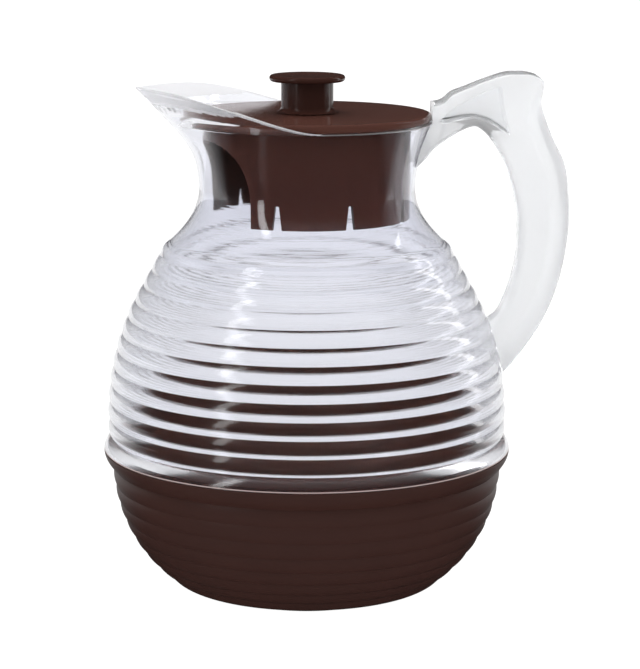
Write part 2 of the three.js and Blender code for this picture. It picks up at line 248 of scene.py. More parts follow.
print("Each curve has", CURVE_STEPS, "steps")

# %% [markdown]
# Walls and ribs are the same kind all over the carafe. The walls of the two halves meet at the seam, and
# a thin gap stands for the bond. A rib is a shallow arc between two sharp grooves.

# %% Walls and ribs
RIB_PITCH = 7.0
RIB_STEPS = 12
RIB_DEPTH = 0.52
BODY_WALL = 2.0
WALL_INSIDE = BODY_WALL + RIB_DEPTH
NECK_WALL = 1.5
SEAM_HEIGHT = 58.0
SEAM_RADIUS = 80.5
BOND_GAP = 0.3


def rib_rows(outline, first, pitch, depths, side):
    """Rounded ribs with a sharp groove between each two. Each rib has its own depth."""
    rows = []
    for rib, depth in enumerate(depths):
        for step in range(RIB_STEPS):
            share = step / RIB_STEPS
            before = depths[max(rib - 1, 0)] if share < 0.5 else depth
            rows.append(outline.at(first + (rib + share) * pitch, side * before * (2 * share - 1) ** 2))
    rows.append(outline.at(first + len(depths) * pitch, side * depths[-1]))
    return rows


print("Walls:", BODY_WALL, "mm in the body and", NECK_WALL, "mm in the neck")

# %% [markdown]
# The clear shell is ribbed outside and smooth inside, so each rib works as a lens. The upper half of a
# rib looks down into the brown bowl and shows it as a dark band, and the lower half shows the white room.
# No texture could do that from all sides, so the ribs are real shapes with fine steps, and the plastic
# refracts. The ribs get shallower from the seam up to the neck, because the dark bands get narrower.
# Below the neck the shell is round, so its outline is spun.

# %% The clear shell below the neck
BODY_SIDES = 240
SHOULDER_RADIUS = 78.8
SHOULDER_CENTRE = 13.0
SHOULDER_RISE = 92.0
SHOULDER_END = 62.0
SHOULDER_TOP = (56.3, 80.5)
NECK_BEND = (51.8, 84.5)
NECK_RUN = 12.0
NECK_RADIUS = 42.3
NECK_HEIGHT = 104.0
CLEAR_FIRST_GROOVE = 5.4
CLEAR_PITCH = 6.93
CLEAR_RIB_DEPTHS = [0.9, 0.85, 0.8, 0.75, 0.72, 0.7, 0.7, 0.7, 0.7, 0.55, 0.4, 0.22]
RIB_FADE_POWER = 6
SEAM_LIP = (80.45, 2.2)
NECK_STEPS = 24
INNER_STEPS = 70
THIN_WALL_SHARE = 0.7


def shoulder_outline():
    """Line over the ribs' crests, from the seam up to the neck."""
    start = math.asin(-SHOULDER_CENTRE / SHOULDER_RISE)
    end = math.asin((SHOULDER_END - SHOULDER_CENTRE) / SHOULDER_RISE)
    points = []
    for step in range(CURVE_STEPS + 1):
        turn = start + (end - start) * step / CURVE_STEPS
        height = SEAM_HEIGHT + SHOULDER_CENTRE + SHOULDER_RISE * math.sin(turn)
        points.append((SHOULDER_RADIUS * math.cos(turn), height))
    corners = [
        (SHOULDER_TOP[0], SEAM_HEIGHT + SHOULDER_TOP[1]),
        (NECK_BEND[0], SEAM_HEIGHT + NECK_BEND[1]),
        (NECK_RADIUS, SEAM_HEIGHT + NECK_HEIGHT - NECK_RUN),
        (NECK_RADIUS, SEAM_HEIGHT + NECK_HEIGHT),
    ]
    return Outline(points + bezier(corners, CURVE_STEPS))


shoulder = shoulder_outline()
seam_top = SEAM_HEIGHT + BOND_GAP
first_groove = shoulder.at(CLEAR_FIRST_GROOVE, CLEAR_RIB_DEPTHS[0])
seam_bulge = [(SEAM_RADIUS, seam_top), (SEAM_LIP[0], seam_top + SEAM_LIP[1]), first_groove]
outside = [tuple(point) for point in bezier(seam_bulge, RIB_STEPS)[:-1]]
outside += rib_rows(shoulder, CLEAR_FIRST_GROOVE, CLEAR_PITCH, CLEAR_RIB_DEPTHS, 1)
rib_end = CLEAR_FIRST_GROOVE + len(CLEAR_RIB_DEPTHS) * CLEAR_PITCH
for step in range(1, NECK_STEPS + 1):
    share = step / NECK_STEPS
    fade = CLEAR_RIB_DEPTHS[-1] * (1 - share) ** RIB_FADE_POWER
    outside.append(shoulder.at(rib_end + (shoulder.length - rib_end) * share, fade))
inside = []
for step in range(INNER_STEPS + 1):
    share = 1 - step / INNER_STEPS
    thickening = min((1 - share) / (1 - THIN_WALL_SHARE), 1)
    wall = NECK_WALL + (WALL_INSIDE - NECK_WALL) * thickening
    inside.append(shoulder.at(shoulder.length * share, wall))
inside[-1] = (inside[-1][0], seam_top)
clear_shell = spin("clear_shell", inside + outside, BODY_SIDES, closed=False)
print("Ribbed part:", len(outside), "rows outside and", len(inside), "inside")

# %% [markdown]
# Above the neck the wall leans out to the rim, and at the spout it leans further and rises to a point,
# like a beak. It isn't round, so it is lofted: a ring is extruded from row to row, and each row's points
# follow the angle from the spout's middle. The rim has a step inside that the lid's disc sits in, and the
# spout's lip is bevelled inside. The bevel's bright line is a painted highlight, given to it with its
# finish.

# %% How the spout rises and leans
RIM_HEIGHT = 129.1
RIM_RADIUS = 48.9
RIM_TRIM = 0.3
RIM_FLARE_POWER = 1.6
SPOUT_REACH = 66.9
SPOUT_RISE = 13.2
SPOUT_HALF_ANGLE = 98.0
SPOUT_RISE_POWER = 1.7
SPOUT_FLARE = 7.0
SPOUT_FLARE_POWER = 0.6
SPOUT_WALL_POWER = 1.45
BEAK_HALF_ANGLE = 36.0
BEAK_BEND = 0.32
BEAK_SOFT = 0.1
SEAT_RADIUS = 49.1
SEAT_HEIGHT = SEAM_HEIGHT + RIM_HEIGHT


def spout_share(angle):
    """How much of the spout there is at an angle from its middle: 1 there, and 0 outside it."""
    share = min(abs(angle) / SPOUT_HALF_ANGLE, 1)
    return (1 + math.cos(math.pi * share**SPOUT_RISE_POWER)) / 2


def beak_bend(share):
    """A line that is nearly level at first, bends softly and then rises."""
    return share - BEAK_BEND + math.hypot(share - BEAK_BEND, BEAK_SOFT)


def flare_outside(angle, share):
    """Outer point of the wall at an angle in degrees from the spout's middle, a share of the way up."""
    spout = spout_share(angle)
    beak = max(1 - abs(angle) / BEAK_HALF_ANGLE, 0) ** 2
    reach = SPOUT_REACH - RIM_RADIUS - SPOUT_FLARE
    radius = RIM_RADIUS + SPOUT_FLARE * spout**SPOUT_FLARE_POWER + reach * beak
    top = SEAT_HEIGHT + RIM_TRIM + (SPOUT_RISE - RIM_TRIM) * spout
    power = RIM_FLARE_POWER + (SPOUT_WALL_POWER - RIM_FLARE_POWER) * spout
    beak_out = (beak_bend(share) - beak_bend(0)) / (beak_bend(1) - beak_bend(0))
    out = share**power * (1 - beak) + beak_out * beak
    bottom = SEAM_HEIGHT + NECK_HEIGHT
    return (NECK_RADIUS + (radius - NECK_RADIUS) * out, bottom + (top - bottom) * share)


print("Spout's tip at", [round(v, 1) for v in flare_outside(0, 1)], "mm")

# %% [markdown]
# The wall isn't equally thick all the way up. It is thick where the disc sits, thinner at the neck, and
# it tapers to an edge inside the spout's lip. So its inner side is worked out from its outer side.

# %% How thick the wall is
LIP_BEVEL = 4.8
LIP_TAPER = 5.0
LIP_SWELL = 0.6
LIP_EDGE = 0.6
BEVEL_START = 0.6
BEVEL_POWER = 0.6
SMALL_SHARE = 0.01


def lip_bevel(angle):
    """Height of the bevel inside the lip, which runs out at both sides of the spout."""
    share = max((spout_share(angle) - BEVEL_START) / (1 - BEVEL_START), 0)
    return LIP_EDGE + LIP_BEVEL * share**BEVEL_POWER


def wall_thickness(angle, share):
    """Thickness of the wall at an angle, a share of the way up."""
    spout = spout_share(angle)
    below_lip = (1 - share) * (flare_outside(angle, 1)[1] - flare_outside(angle, 0)[1])
    bevel = lip_bevel(angle)
    if below_lip < bevel:
        return LIP_EDGE + (BODY_WALL - LIP_EDGE) * below_lip / bevel
    swell = LIP_SWELL * spout
    taper = LIP_TAPER * spout
    if below_lip < bevel + taper:
        return BODY_WALL + swell * (below_lip - bevel) / taper
    down_share = (below_lip - bevel - taper) / (below_lip / (1 - share) - bevel - taper)
    return BODY_WALL + swell + (NECK_WALL - BODY_WALL - swell) * down_share


def flare_inside(angle, share):
    """Inner point of the same wall."""
    near = share * (1 - SMALL_SHARE)
    low = Vector(flare_outside(angle, near))
    high = Vector(flare_outside(angle, near + SMALL_SHARE))
    along = (high - low).normalized()
    inset = wall_thickness(angle, share)
    radius, height = flare_outside(angle, share)
    return (radius - inset * along.y, height + inset * along.x)


print("Bevel inside the spout's tip:", round(lip_bevel(0), 1), "mm high")

# %% The wall's points at one angle
FLARE_STEPS = 28
RIM_ROUND = 0.25
RIM_CORNER_SHARE = 0.3
WALL_STEPS = 80
SEAT_STEPS = 22
INNER_WALL_STEPS = 24


def radius_at(points, height):
    """Radius of a rising line of points at a height."""
    for (low_radius, low), (high_radius, high) in zip(points, points[1:]):
        if height <= high:
            share = (height - low) / (high - low)
            return low_radius + (high_radius - low_radius) * max(share, 0)
    return points[-1][0]


def rim_column(angle):
    """Points of the wall at an angle: up outside, over the rim, down past the lid's seat to the neck."""
    column = [flare_outside(angle, step / FLARE_STEPS) for step in range(FLARE_STEPS)]
    radius, top = flare_outside(angle, 1)
    column.append((radius, top - RIM_ROUND))
    column.append((radius - RIM_ROUND * RIM_CORNER_SHARE, top - RIM_ROUND * RIM_CORNER_SHARE))
    column.append((radius - RIM_ROUND, top))
    bottom = SEAM_HEIGHT + NECK_HEIGHT
    edge_share = 1 - LIP_EDGE / (top - bottom)
    wall = [flare_inside(angle, edge_share * step / WALL_STEPS) for step in range(WALL_STEPS + 1)]
    wall.append((radius - LIP_EDGE, top))
    upper = [top + (SEAT_HEIGHT - top) * step / SEAT_STEPS for step in range(SEAT_STEPS + 1)]
    drop = bottom - SEAT_HEIGHT
    lower = [SEAT_HEIGHT + drop * step / INNER_WALL_STEPS for step in range(INNER_WALL_STEPS + 1)]
    for height in upper:
        column.append((max(radius_at(wall, height), SEAT_RADIUS), height))
    for height in lower:
        column.append((radius_at(wall, height), height))
    if radius <= SEAT_RADIUS:
        low_radius = radius_at(wall, SEAT_HEIGHT)
        count = len(upper)
        start = len(column) - len(lower) - count
        for i in range(start, start + count):
            column[i] = (low_radius, column[i][1])
        column = [(r, min(height, SEAT_HEIGHT)) for r, height in column]
    return column


print("Points at each angle:", len(rim_column(0)))

# %% The wall between the neck and the rim
RIB_EDGE_ANGLE = 28

columns = []
for side in range(BODY_SIDES):
    turn = math.tau * side / BODY_SIDES
    from_spout = math.degrees(abs(turn - math.pi))
    cosine, sine = math.cos(turn), math.sin(turn)
    columns.append([(r * cosine, r * sine, height) for r, height in rim_column(from_spout)])
rows = [list(row) for row in zip(*columns)]
spout_wall = loft("spout_wall", rows, capped=False)
join(clear_shell, spout_wall)
tidy_mesh(clear_shell)
finish_piece(clear_shell, RIB_EDGE_ANGLE, "jug", "clear_body")

# %% [markdown]
# The bowl is the lower half of the same ball shape, in brown. Its lip stands out as a ring and carries
# the clear shell, a low spigot inside keeps the two in line, and the ribs go on down to the flat foot. It
# is round all over, so it is spun in one piece, with its inner side.

# %% The bowl
BOWL_SIDES = 200
BOWL_RADIUS = 77.3
BOWL_DEPTH = 66.0
BOWL_ROUNDNESS = 2.33
BOWL_FIRST_GROOVE = 7.3
BOWL_LIP = 3.5
BOWL_RIBS = 8
FOOT_RADIUS = 37.0
FOOT_ROUND = 8.0
FOOT_CORNER = 11.0
SPIGOT_HEIGHT = 2.0
SPIGOT_WALL = 2.0
EDGE_ROUND = 0.25
BOWL_RIB_DEPTH = 0.6

points = []
for step in range(CURVE_STEPS + 1):
    depth = (SEAM_HEIGHT - FOOT_ROUND) * step / CURVE_STEPS
    radius = BOWL_RADIUS * (1 - (depth / BOWL_DEPTH) ** BOWL_ROUNDNESS) ** (1 / BOWL_ROUNDNESS)
    points.append((radius, SEAM_HEIGHT - depth))
foot_bend = [points[-1], (FOOT_RADIUS + FOOT_CORNER, 0), (FOOT_RADIUS, 0)]
bowl_line = Outline(points + bezier(foot_bend, RIB_STEPS)[1:])
groove = bowl_line.at(BOWL_FIRST_GROOVE, -BOWL_RIB_DEPTH)
lip = [(SEAM_RADIUS, SEAM_HEIGHT - EDGE_ROUND), (SEAM_RADIUS, SEAM_HEIGHT - BOWL_LIP), groove]
spigot = inside[-1][0] - BOND_GAP
outline = [(0, BODY_WALL)]
for step in range(INNER_STEPS - 1, 0, -1):
    share = step / INNER_STEPS
    outline.append(bowl_line.at(bowl_line.length * share, -WALL_INSIDE))
outline += [
    (spigot - SPIGOT_WALL, SEAM_HEIGHT),
    (spigot - SPIGOT_WALL, SEAM_HEIGHT + SPIGOT_HEIGHT - EDGE_ROUND),
    (spigot - SPIGOT_WALL + EDGE_ROUND, SEAM_HEIGHT + SPIGOT_HEIGHT),
    (spigot - EDGE_ROUND, SEAM_HEIGHT + SPIGOT_HEIGHT),
    (spigot, SEAM_HEIGHT + SPIGOT_HEIGHT - EDGE_ROUND),
    (spigot, SEAM_HEIGHT),
    (SEAM_RADIUS - EDGE_ROUND, SEAM_HEIGHT),
]
outline += [tuple(point) for point in bezier(lip, RIB_STEPS)[:-1]]
outline += rib_rows(bowl_line, BOWL_FIRST_GROOVE, RIB_PITCH, [BOWL_RIB_DEPTH] * BOWL_RIBS, -1)
outline += [(FOOT_RADIUS, 0), (0, 0)]
bowl = spin("bowl_shell", outline, BOWL_SIDES, closed=False)
finish_piece(bowl, RIB_EDGE_ANGLE, "jug", "bowl")

# %% [markdown]
# The lid is a disc with rounded edges on a thin skirt that fills the neck. Seven slots let the skirt
# give, and one wide arch lets the water out when it faces the spout. The disc and skirt are spun, and the
# slots and the arch are cut with solids that are pushed out from the axis through the skirt.

# %% The lid
LID_SIDES = 200
UNDERSIDE = SEAT_HEIGHT + BOND_GAP
DISC_RADIUS = 48.6
DISC_THICKNESS = 3.3
DISC_ROUND = 1.4
DISC_TOP = UNDERSIDE + DISC_THICKNESS
TURNING_GAP = 0.5
SKIRT_LENGTH = 38.0
SKIRT_WALL = 1.8
SKIRT_RADIUS = NECK_RADIUS - NECK_WALL - TURNING_GAP
SKIRT_BOTTOM = UNDERSIDE - SKIRT_LENGTH
STEM_HOLE = 4.3
ROUND_STEPS = 10


def corner_round(centre, radius, start, end, steps):
    """Points of a rounded corner, by its turn in degrees."""
    points = []
    for step in range(steps + 1):
        turn = math.radians(start + (end - start) * step / steps)
        points.append((centre[0] + radius * math.cos(turn), centre[1] + radius * math.sin(turn)))
    return points


outline = [
    (STEM_HOLE, DISC_TOP),
    (STEM_HOLE, UNDERSIDE),
    (SKIRT_RADIUS - SKIRT_WALL, UNDERSIDE),
    (SKIRT_RADIUS - SKIRT_WALL, SKIRT_BOTTOM + EDGE_ROUND),
    (SKIRT_RADIUS - SKIRT_WALL + EDGE_ROUND, SKIRT_BOTTOM),
    (SKIRT_RADIUS - EDGE_ROUND, SKIRT_BOTTOM),
    (SKIRT_RADIUS, SKIRT_BOTTOM + EDGE_ROUND),
    (SKIRT_RADIUS, UNDERSIDE),
]
disc_edge = DISC_RADIUS - DISC_ROUND
outline += corner_round((disc_edge, UNDERSIDE + DISC_ROUND), DISC_ROUND, -90, 0, ROUND_STEPS)
outline += corner_round((disc_edge, DISC_TOP - DISC_ROUND), DISC_ROUND, 0, 90, ROUND_STEPS)
lid = spin("lid_disc", outline, LID_SIDES, closed=True)
print("Disc:", 2 * DISC_RADIUS, "mm across, skirt:", 2 * SKIRT_RADIUS, "mm across")

# %% [markdown]
# The slots and the arch are open at the skirt's lower edge, so their outlines start below it. The arch
# takes the place of two slots, and is drawn as a squarish half ellipse on short straight sides.

# %% The slots and the arch
TURNED_EDGE_ANGLE = 35
SLOT_COUNT = 9
ARCH_SLOTS = 2
SLOT_TURN = -15.9
SLOT_HEIGHT = 9.6
SLOT_TOP_WIDTH = 1.6
SLOT_BOTTOM_WIDTH = 3.7
ARCH_TURN = -70.0
ARCH_HALF_ANGLE = 38.8
ARCH_HALF_WIDTH = SKIRT_RADIUS * math.sin(math.radians(ARCH_HALF_ANGLE))
ARCH_HEIGHT = 32.5
ARCH_SPRING = 5.0
ARCH_SQUARENESS = 2.8
ARCH_STEPS = 40
OVERRUN = 2.0
SLOT_SPACING = 360 / SLOT_COUNT

slot_shape = [
    (-SLOT_BOTTOM_WIDTH / 2, -OVERRUN),
    (SLOT_BOTTOM_WIDTH / 2, -OVERRUN),
    (SLOT_BOTTOM_WIDTH / 2, 0),
    (SLOT_TOP_WIDTH / 2, SLOT_HEIGHT - EDGE_ROUND),
    (SLOT_TOP_WIDTH / 2 - EDGE_ROUND, SLOT_HEIGHT),
    (-SLOT_TOP_WIDTH / 2 + EDGE_ROUND, SLOT_HEIGHT),
    (-SLOT_TOP_WIDTH / 2, SLOT_HEIGHT - EDGE_ROUND),
    (-SLOT_BOTTOM_WIDTH / 2, 0),
]
arch_shape = [(-ARCH_HALF_WIDTH, -OVERRUN), (ARCH_HALF_WIDTH, -OVERRUN)]
for step in range(ARCH_STEPS + 1):
    turn = math.pi * step / ARCH_STEPS
    across = math.copysign(abs(math.cos(turn)) ** (2 / ARCH_SQUARENESS), math.cos(turn))
    up = abs(math.sin(turn)) ** (2 / ARCH_SQUARENESS)
    arch_shape.append((ARCH_HALF_WIDTH * across, ARCH_SPRING + (ARCH_HEIGHT - ARCH_SPRING) * up))


def skirt_cutter(name, shape, angle):
    """A flat shape pushed out from the axis, at an angle in degrees from the front towards the handle."""
    turn = math.radians(angle)
    rows = []
    for out in (OVERRUN, DISC_RADIUS):
        row = []
        for across, up in shape:
            x = across * math.cos(turn) + out * math.sin(turn)
            y = across * math.sin(turn) - out * math.cos(turn)
            row.append((x, y, SKIRT_BOTTOM + up))
        rows.append(row)
    piece = loft(name, rows, capped=True)
    tidy_mesh(piece)
    return piece


cutters = []
for i in range(SLOT_COUNT - ARCH_SLOTS):
    cutters.append(skirt_cutter("slot_cutter", slot_shape, SLOT_TURN + i * SLOT_SPACING))
for cutter in cutters:
    cut(lid, cutter)
cut(lid, skirt_cutter("arch_cutter", arch_shape, ARCH_TURN))
finish_piece(lid, TURNED_EDGE_ANGLE, "lid", "lid")

# %% [markdown]
# The knob is one turned shape: a button with a rounded rim and a shallow dish, a stem that flares into a
# fillet where it meets the disc, and below the disc a spigot with a snap head that holds it.

# %% The knob
KNOB_SIDES = 120
KNOB_HEIGHT = 14.7
BUTTON_RADIUS = 14.8
BUTTON_THICKNESS = 2.5
BUTTON_DISH = 0.4
DISH_BEND = 1.0
BUTTON_ROUND = 1.2
BUTTON_RIM = 2.4
STEM_RADIUS = 10.2
STEM_FILLET = 2.2
KNOB_SPIGOT = 4.0
SNAP_RADIUS = 5.4
SNAP_HEIGHT = 3.0

head_top = UNDERSIDE - BOND_GAP
stem_base = DISC_TOP + BOND_GAP
knob_top = DISC_TOP + KNOB_HEIGHT
button_bottom = knob_top - BUTTON_THICKNESS
outline = [
    (0, head_top - SNAP_HEIGHT),
    (KNOB_SPIGOT, head_top - SNAP_HEIGHT),
    (SNAP_RADIUS, head_top - SNAP_HEIGHT / 2),
    (SNAP_RADIUS, head_top),
    (KNOB_SPIGOT, head_top),
    (KNOB_SPIGOT, stem_base),
]
for step in range(ROUND_STEPS + 1):
    turn = math.radians(90 * step / ROUND_STEPS)
    radius = STEM_RADIUS + STEM_FILLET * (1 - math.sin(turn))
    outline.append((radius, stem_base + STEM_FILLET * (1 - math.cos(turn))))
outline.append((STEM_RADIUS, button_bottom - EDGE_ROUND))
outline.append((STEM_RADIUS + EDGE_ROUND, button_bottom))
middle = knob_top - BUTTON_THICKNESS / 2
for step in range(2 * ROUND_STEPS + 1):
    turn = math.radians(-90 + 90 * step / ROUND_STEPS)
    radius = BUTTON_RADIUS - BUTTON_ROUND * (1 - math.cos(turn))
    outline.append((radius, middle + BUTTON_THICKNESS / 2 * math.sin(turn)))
dish_start = BUTTON_RADIUS - BUTTON_RIM
dish_end = (dish_start - DISH_BEND, knob_top - BUTTON_DISH)
dish = [(dish_start + DISH_BEND, knob_top), (dish_start, knob_top), dish_end]
outline += [tuple(point) for point in bezier(dish, ROUND_STEPS)]
outline.append((0, knob_top - BUTTON_DISH))
knob = spin("knob_turned", outline, KNOB_SIDES, closed=False)
finish_piece(knob, TURNED_EDGE_ANGLE, "knob", "knob")

# %% [markdown]
# The handle is one clear moulding: an arm from the neck to the thumb rest, with a thin web in a recess on
# both sides, and a grip that bows out and comes back to the shoulder. Its section is flat at the sides,
# rounded towards the fingers and drawn in at the back, and it is lofted through measured places. X is a
# share of the handle's reach and height a share of its rise, as measured from the photograph.

# %% Places along the handle
HANDLE_REACH = 102.4
HANDLE_FOOT = 30.0
HANDLE_RISE = 118.3
HANDLE_TOP = 206.4
HANDLE_HALF_WIDTH = 9.0
HANDLE_BACK = 4.5
HANDLE_BACK_DEPTH = 8.0
HANDLE_INNER_ROUND = 2.6
HANDLE_INNER_BEVEL = 0.9
HANDLE_INNER_HALF = 6.0
ROOT_SHARES = [1.6, 1.35, 1.15, 1.03]
STEPS_BETWEEN = 5

# Inner edge's X and height, outer edge's X and height, and how far the back is drawn in
STATION_SHARES = [
    (0.300, 0.600, 0.300, 0.925, 0),
    (0.433, 0.708, 0.481, 0.899, 0),
    (0.476, 0.750, 0.550, 0.934, 0),
    (0.531, 0.786, 0.604, 0.953, 0),
    (0.587, 0.815, 0.672, 0.977, 0),
    (0.634, 0.828, 0.753, 0.999, 0),
    (0.666, 0.814, 0.822, 1.002, 0),
    (0.692, 0.790, 0.892, 0.977, 0.25),
    (0.723, 0.749, 0.887, 0.907, 0.9),
    (0.750, 0.706, 0.902, 0.857, 1),
    (0.772, 0.651, 0.934, 0.786, 1),
    (0.791, 0.591, 0.976, 0.712, 1),
    (0.800, 0.544, 0.995, 0.627, 1),
    (0.805, 0.493, 1.001, 0.523, 1),
    (0.805, 0.416, 0.996, 0.455, 1),
    (0.792, 0.343, 0.982, 0.375, 1),
    (0.775, 0.288, 0.961, 0.300, 1),
    (0.753, 0.239, 0.933, 0.232, 1),
    (0.729, 0.199, 0.891, 0.158, 1),
    (0.687, 0.169, 0.839, 0.091, 0.9),
    (0.640, 0.120, 0.795, 0.042, 0.8),
    (0.620, 0.010, 0.751, 0.000, 0.7),
]


def smooth_between(before, start, end, after, share):
    """A value on the smooth curve through four values in a row."""
    bend = 2 * before - 5 * start + 4 * end - after
    twist = 3 * (start - end) + after - before
    return start + share * ((end - before) + share * (bend + share * twist)) / 2


def handle_place(x_share, height_share):
    """A place in the handle's middle plane, as X and height in millimetres."""
    return Vector((x_share * HANDLE_REACH, SEAM_HEIGHT + HANDLE_FOOT + height_share * HANDLE_RISE))


print("Places along the handle:", len(STATION_SHARES))

# %% The handle's sections
CORNER_STEPS = 4
CORNER_ROUND = 1.1
CORNER_LIMIT_SHARE = 0.45


def rounded(corners, size, steps):
    """Rounds each corner of a closed line."""
    points = []
    for i, corner in enumerate(corners):
        corner = Vector(corner)
        ends = []
        for other in (corners[i - 1], corners[(i + 1) % len(corners)]):
            way = Vector(other) - corner
            ends.append(corner + way.normalized() * min(size, way.length * CORNER_LIMIT_SHARE))
        points += bezier([ends[0], corner, ends[1]], steps)
    return points


def handle_section(values):
    """Points round the handle at one place, from its row of shares."""
    inner = handle_place(values[0], values[1])
    outer = handle_place(values[2], values[3])
    drawn_in = min(max(values[4], 0), 1)
    across = (outer - inner).normalized()
    depth = (outer - inner).length
    half = HANDLE_HALF_WIDTH * values[5]
    back = half + (HANDLE_BACK - half) * drawn_in
    one_side = [
        (0, HANDLE_INNER_HALF * values[5]),
        (HANDLE_INNER_BEVEL, half - HANDLE_INNER_BEVEL),
        (HANDLE_INNER_ROUND, half),
        (depth - HANDLE_BACK_DEPTH, half),
        (depth, back),
    ]
    corners = one_side + [(along, -side) for along, side in reversed(one_side)]
    row = []
    for point in rounded(corners, CORNER_ROUND, CORNER_STEPS):
        place = inner + across * point.x
        row.append((min(place.x, HANDLE_REACH), point.y, min(place.y, HANDLE_TOP)))
    return row


stations = []
for i, shares in enumerate(STATION_SHARES):
    root = ROOT_SHARES[i] if i < len(ROOT_SHARES) else 1
    stations.append((*shares, root))
rows = []
for i in range(len(stations) - 1):
    four = [stations[max(i - 1, 0)], stations[i], stations[i + 1], stations[min(i + 2, len(stations) - 1)]]
    for step in range(STEPS_BETWEEN):
        share = step / STEPS_BETWEEN
        rows.append(handle_section([smooth_between(*values, share) for values in zip(*four)]))
rows.append(handle_section(stations[-1]))
handle = loft("clear_handle", rows, capped=True)
tidy_mesh(handle)
print("Handle lofted through", len(rows), "sections")

# %% [markdown]
# The arm is hollowed on both sides and leaves a thin web in the middle. The recess has a rounded floor
# and a rounded rim, so the solid that cuts it is lofted through five levels of the same outline, each a
# little wider than the one before.

# %% The recess on each side of the arm
WEB_HALF = 2.0
RECESS_FLOOR_ROUND = 0.6
RECESS_RIM_ROUND = 0.5
RECESS_SHARES = [
    (0.500, 0.850),
    (0.560, 0.893),
    (0.650, 0.935),
    (0.730, 0.962),
    (0.738, 0.905),
    (0.750, 0.850),
    (0.768, 0.800),
    (0.718, 0.832),
    (0.680, 0.851),
    (0.628, 0.862),
    (0.560, 0.852),
    (0.515, 0.842),
]
RECESS_CORNER = 1.6

recess = rounded([handle_place(*shares) for shares in RECESS_SHARES], RECESS_CORNER, CORNER_STEPS)


def widened(line, amount):
    """The same closed line, moved outwards by an amount."""
    points = []
    for i, point in enumerate(line):
        along = (line[(i + 1) % len(line)] - line[i - 1]).normalized()
        points.append(point + Vector((-along.y, along.x)) * amount)
    return points


for direction in (1, -1):
    levels = [
        (WEB_HALF, -RECESS_FLOOR_ROUND),
        (WEB_HALF + RECESS_FLOOR_ROUND, 0),
        (HANDLE_HALF_WIDTH - RECESS_RIM_ROUND, 0),
        (HANDLE_HALF_WIDTH, RECESS_RIM_ROUND),
        (HANDLE_HALF_WIDTH * ROOT_SHARES[0], RECESS_RIM_ROUND),
    ]
    pocket_rows = []
    for level, amount in levels:
        line = widened(recess, amount)
        pocket_rows.append([(point.x, direction * level, point.y) for point in line])
    pocket = loft("pocket_cutter", pocket_rows, capped=True)
    tidy_mesh(pocket)
    cut(handle, pocket)
print("Web:", 2 * WEB_HALF, "mm thick")

# %% [markdown]
# The handle's two roots lie against the neck and the shoulder, so they have to follow them closely. The
# body's own outline, a bond's gap larger, is spun to a solid, and the handle is cut with it. The same cut
# keeps the arm clear of the lid's disc.

# %% Fitting the handle to the body
HANDLE_EDGE_ANGLE = 30
ROOM_STEPS = 80
ARM_CLEARANCE = 1.2
room = [(0, SEAM_HEIGHT)]
for step in range(ROOM_STEPS + 1):
    room.append(shoulder.at(shoulder.length * step / ROOM_STEPS, -BOND_GAP))
for step in range(1, FLARE_STEPS + 1):
    radius, height = flare_outside(180, step / FLARE_STEPS)
    room.append((radius + BOND_GAP, height))
room_top = handle_place(0, 1).y + OVERRUN
room.append((DISC_RADIUS + ARM_CLEARANCE, SEAT_HEIGHT))
room.append((DISC_RADIUS + ARM_CLEARANCE, room_top))
room.append((0, room_top))
cut(handle, spin("room_cutter", room, BODY_SIDES, closed=False))
tidy_mesh(handle)
finish_piece(handle, HANDLE_EDGE_ANGLE, "jug", "handle")

# %% [markdown]
# A shader is a sum of small steps, so it is written like one. A wire stands for a node's output, and
# adding or multiplying wires adds the Math node. All other nodes come from one method.

# %% Helpers for materials
NOISE_DETAIL = 3.0


class Wire:
    """A node's output. Sums, differences and products of wires add their Math nodes."""

    def __init__(self, finish, socket):
        self.finish = finish
        self.socket = socket

    def __add__(self, other):
        return self.finish.add("ShaderNodeMath", {"operation": "ADD"}, {0: self, 1: other})

    def __sub__(self, other):
        return self.finish.add("ShaderNodeMath", {"operation": "SUBTRACT"}, {0: self, 1: other})

    def __rsub__(self, other):
        return self.finish.add("ShaderNodeMath", {"operation": "SUBTRACT"}, {0: other, 1: self})

    def __mul__(self, other):
        return self.finish.add("ShaderNodeMath", {"operation": "MULTIPLY"}, {0: self, 1: other})

    __radd__ = __add__
    __rmul__ = __mul__


class Finish:
    """The nodes of a material or of the world."""

    def __init__(self, owner):
        owner.use_nodes = True
        self.owner = owner
        self.tree = owner.node_tree

    def put(self, socket, value):
        """Links a wire to a socket, or sets a plain value there."""
        if isinstance(value, Wire):
            self.tree.links.new(value.socket, socket)
        else:
            socket.default_value = value

    def add(self, kind, settings, values, output=0):
        """Adds a node, with its settings first and then its sockets, and returns one of its outputs."""
        node = self.tree.nodes.new(kind)
        for name, value in settings.items():
            setattr(node, name, value)
        for name, value in values.items():
            self.put(node.inputs[name], value)
        return Wire(self, node.outputs[output])

    def noise(self, scale, stretch=(1, 1, 1)):
        """Noise on the object's own coordinates, in about 0 to 1."""
        place = self.add("ShaderNodeTexCoord", {}, {}, "Object")
        turned = self.add("ShaderNodeMapping", {}, {"Vector": place, "Scale": stretch})
        values = {"Vector": turned, "Scale": scale, "Detail": NOISE_DETAIL}
        return self.add("ShaderNodeTexNoise", {}, values)

    def ramp(self, value, start, end, low, high):
        """A value that goes from low to high between two places."""
        limits = {"Value": value, "From Min": start, "From Max": end, "To Min": low, "To Max": high}
        return self.add("ShaderNodeMapRange", {"clamp": True}, limits)

    def shader(self, values):
        """Sets or links the sockets of the material's own shader."""
        node = self.tree.nodes["Principled BSDF"]
        for name, value in values.items():
            self.put(node.inputs[name], value)


print("Noise has", NOISE_DETAIL, "layers")
